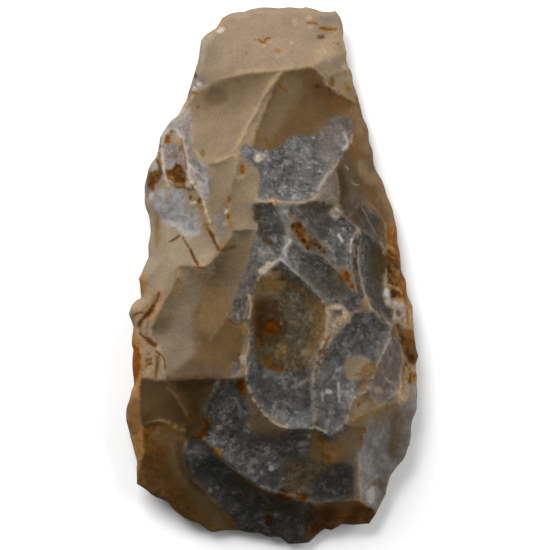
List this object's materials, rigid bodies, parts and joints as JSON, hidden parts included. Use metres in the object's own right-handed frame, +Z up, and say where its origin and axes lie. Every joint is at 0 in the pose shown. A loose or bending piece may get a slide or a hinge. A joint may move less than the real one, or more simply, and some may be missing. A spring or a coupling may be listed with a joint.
{
  "type": "flint side scraper",
  "caption": "Knapped flint side scraper: a long tapering stone with a domed, flaked upper side, a smooth shallow-bowled underside and a sharp worked edge.",
  "frame": {"origin": "under the middle of the stone's box, at the height of the surface it lies on", "axes": "+Y along the stone towards its narrow end, +Z up through its thickness, +X across it to the right"},
  "size_m": [0.0523, 0.0962, 0.0179],
  "materials": {
    "flint": "dull to waxy knapped flint, brown-grey with slate patches, pale lavender patina and rust stains"
  },
  "bodies": {
    "root": {"flint_scraper": "flint"}
  },
  "joints": []
}
